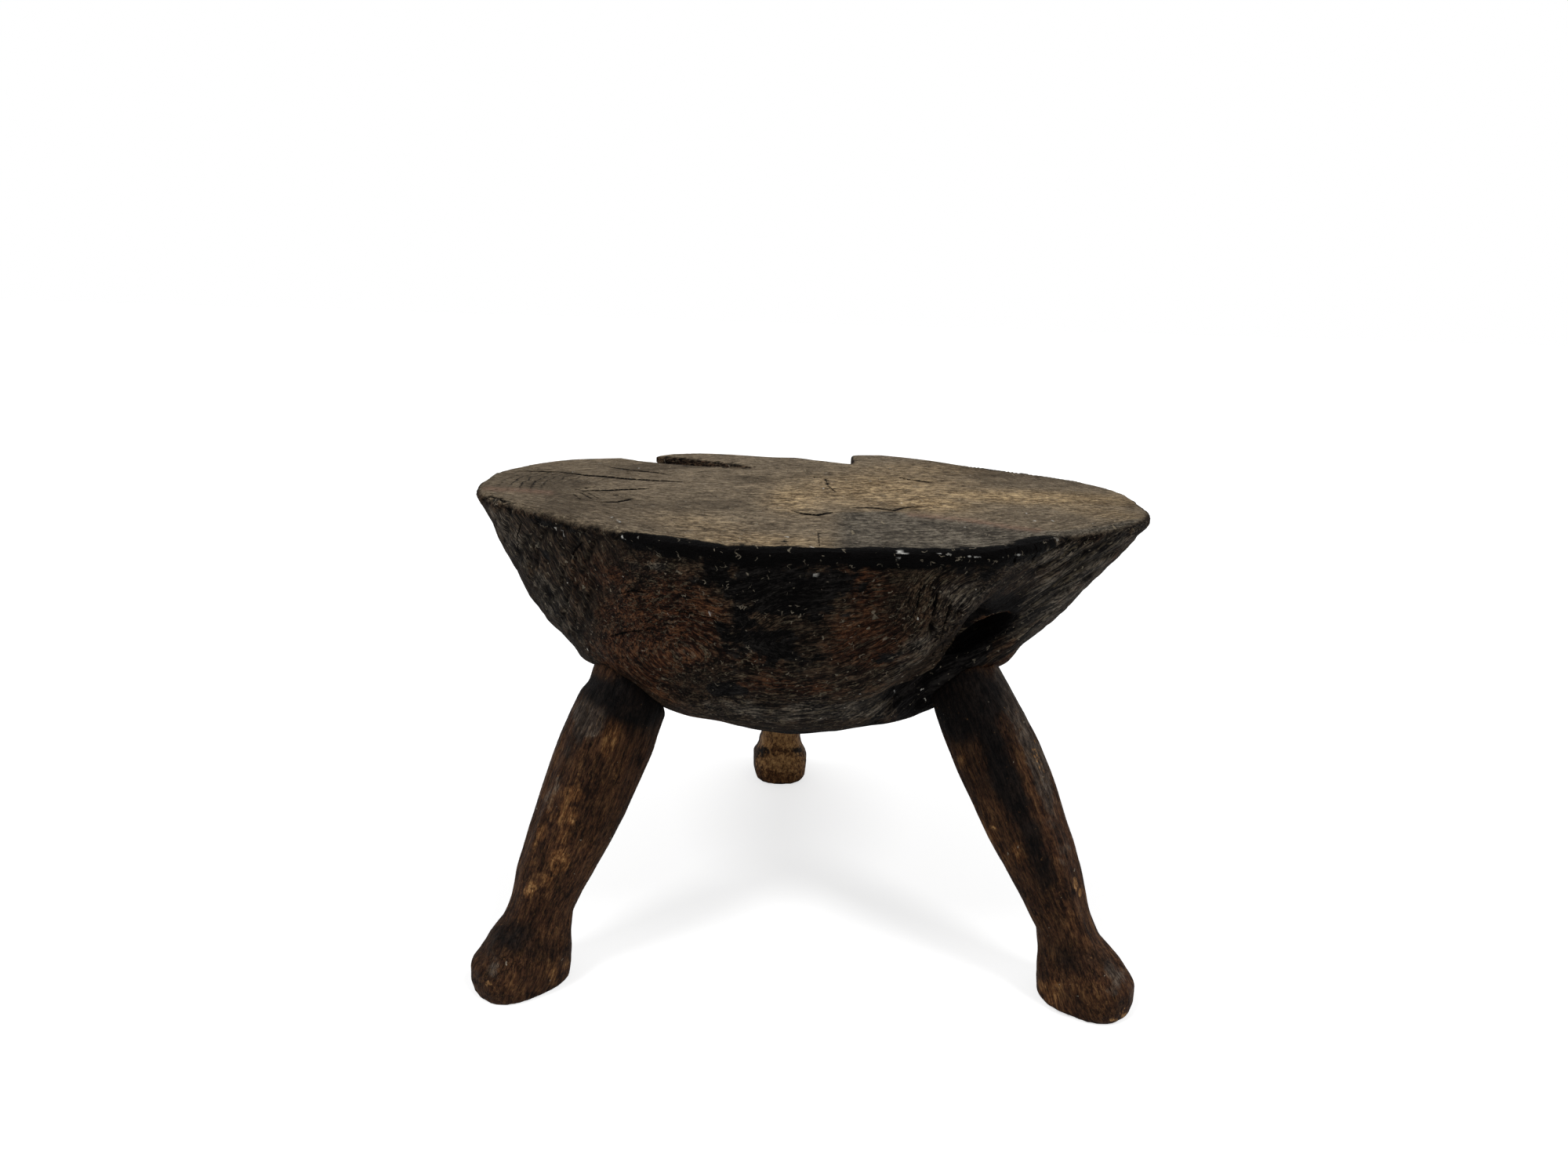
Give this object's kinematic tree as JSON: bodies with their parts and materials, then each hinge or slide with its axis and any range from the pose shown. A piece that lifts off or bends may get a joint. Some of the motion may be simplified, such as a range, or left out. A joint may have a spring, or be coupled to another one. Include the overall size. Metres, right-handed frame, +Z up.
{
  "type": "lobi stool",
  "caption": "Low hewn wooden stool: a thick log seat, flat on top and rounded below, on three splayed legs with carved feet, tenoned and wedged into the seat.",
  "frame": {"origin": "on the floor, under the middle of the stool's bounding box", "axes": "+Z up, +X to the right and +Y to the back as seen from the side with the two front legs"},
  "size_m": [0.4748, 0.5101, 0.325],
  "materials": {
    "seat_wood": "aged dark hardwood, flat top worn paler, sides smoked nearly black, dull sheen",
    "leg_wood": "hewn dark brown hardwood with paler worn patches, dull sheen",
    "wedge_wood": "split hardwood, unfinished"
  },
  "bodies": {
    "root": {"seat_block": "seat_wood", "front_left_leg": "leg_wood", "front_right_leg": "leg_wood", "rear_leg": "leg_wood", "front_left_wedge": "wedge_wood", "front_right_wedge": "wedge_wood", "rear_wedge": "wedge_wood"}
  },
  "joints": []
}
